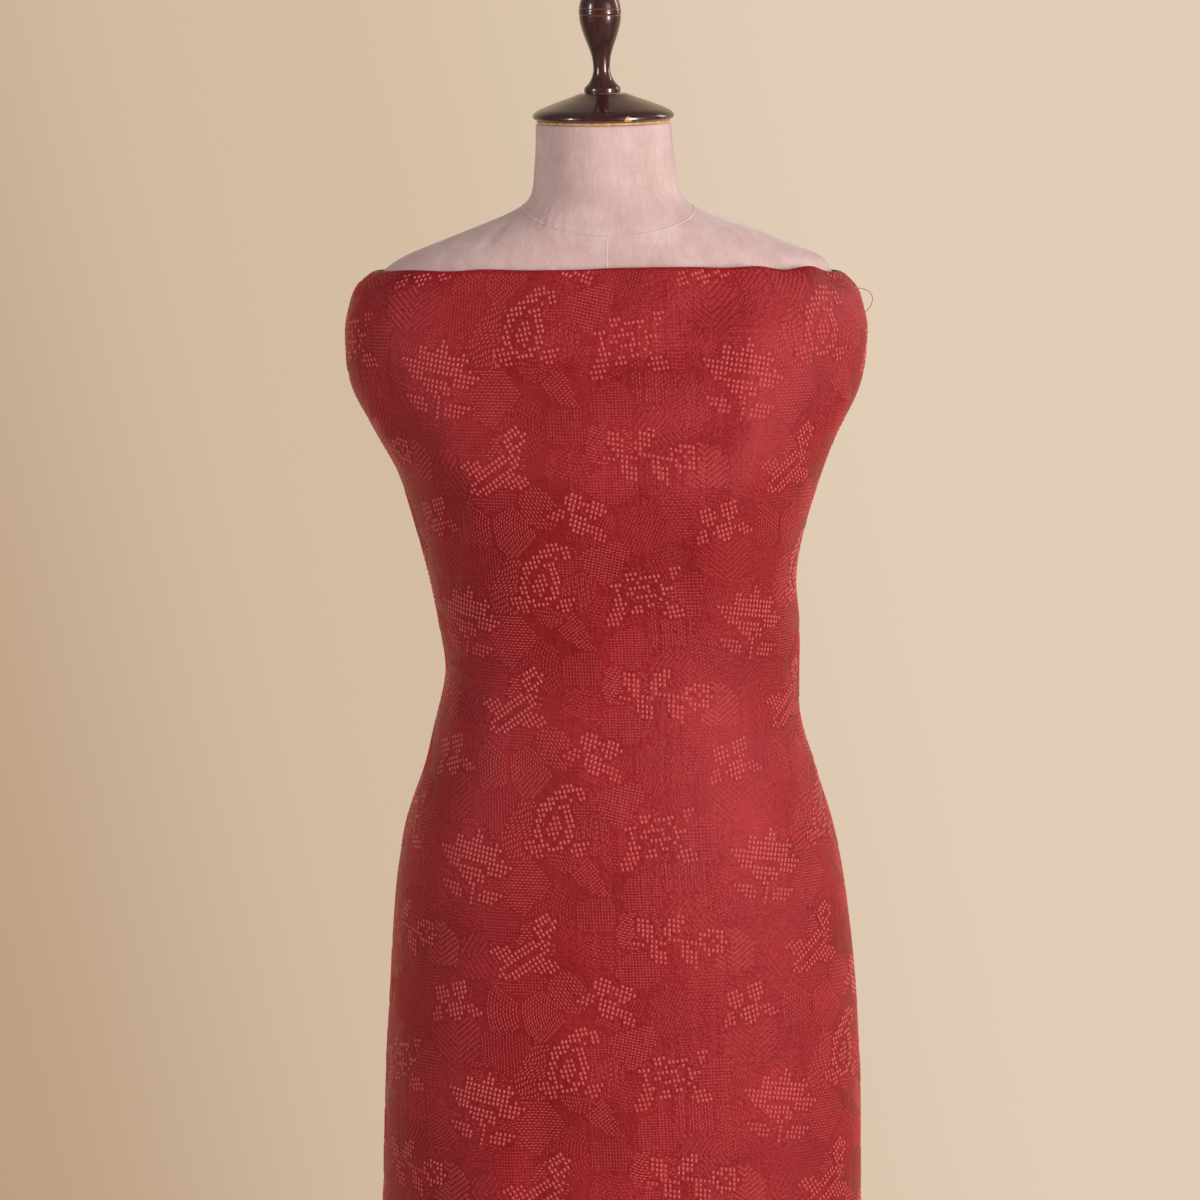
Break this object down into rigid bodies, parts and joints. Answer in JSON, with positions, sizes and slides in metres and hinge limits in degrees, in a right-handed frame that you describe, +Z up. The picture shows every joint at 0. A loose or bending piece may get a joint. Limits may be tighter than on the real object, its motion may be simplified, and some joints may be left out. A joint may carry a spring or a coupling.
{
  "type": "embroidered silk cloth on a dress form",
  "caption": "Length of crimson silk with running-stitch embroidery, wrapped round an armless dress form with a turned neck cap, on a round floor stand.",
  "frame": {"origin": "centre of the round base, on the floor", "axes": "+Z up along the pole, -Y towards the front of the form, +X to the right of someone who faces the front"},
  "size_m": [0.42, 0.42, 1.5119],
  "materials": {
    "silk": "slubbed crimson silk with a soft sheen, embroidered in coral and red",
    "velvet": "short pale mauve-pink velvet",
    "lacquer": "gloss dark red-brown lacquer on turned wood",
    "bare_wood": "bare golden wood",
    "dark_wood": "satin dark stained wood",
    "steel": "satin dark painted steel"
  },
  "bodies": {
    "root": {"cloth": "silk", "torso_form": "velvet", "hip_plate": "dark_wood", "neck_cap_rim": "bare_wood", "neck_cap": "lacquer", "finial": "lacquer", "base": "dark_wood", "pole_collar": "dark_wood", "pole": "steel"}
  },
  "joints": []
}
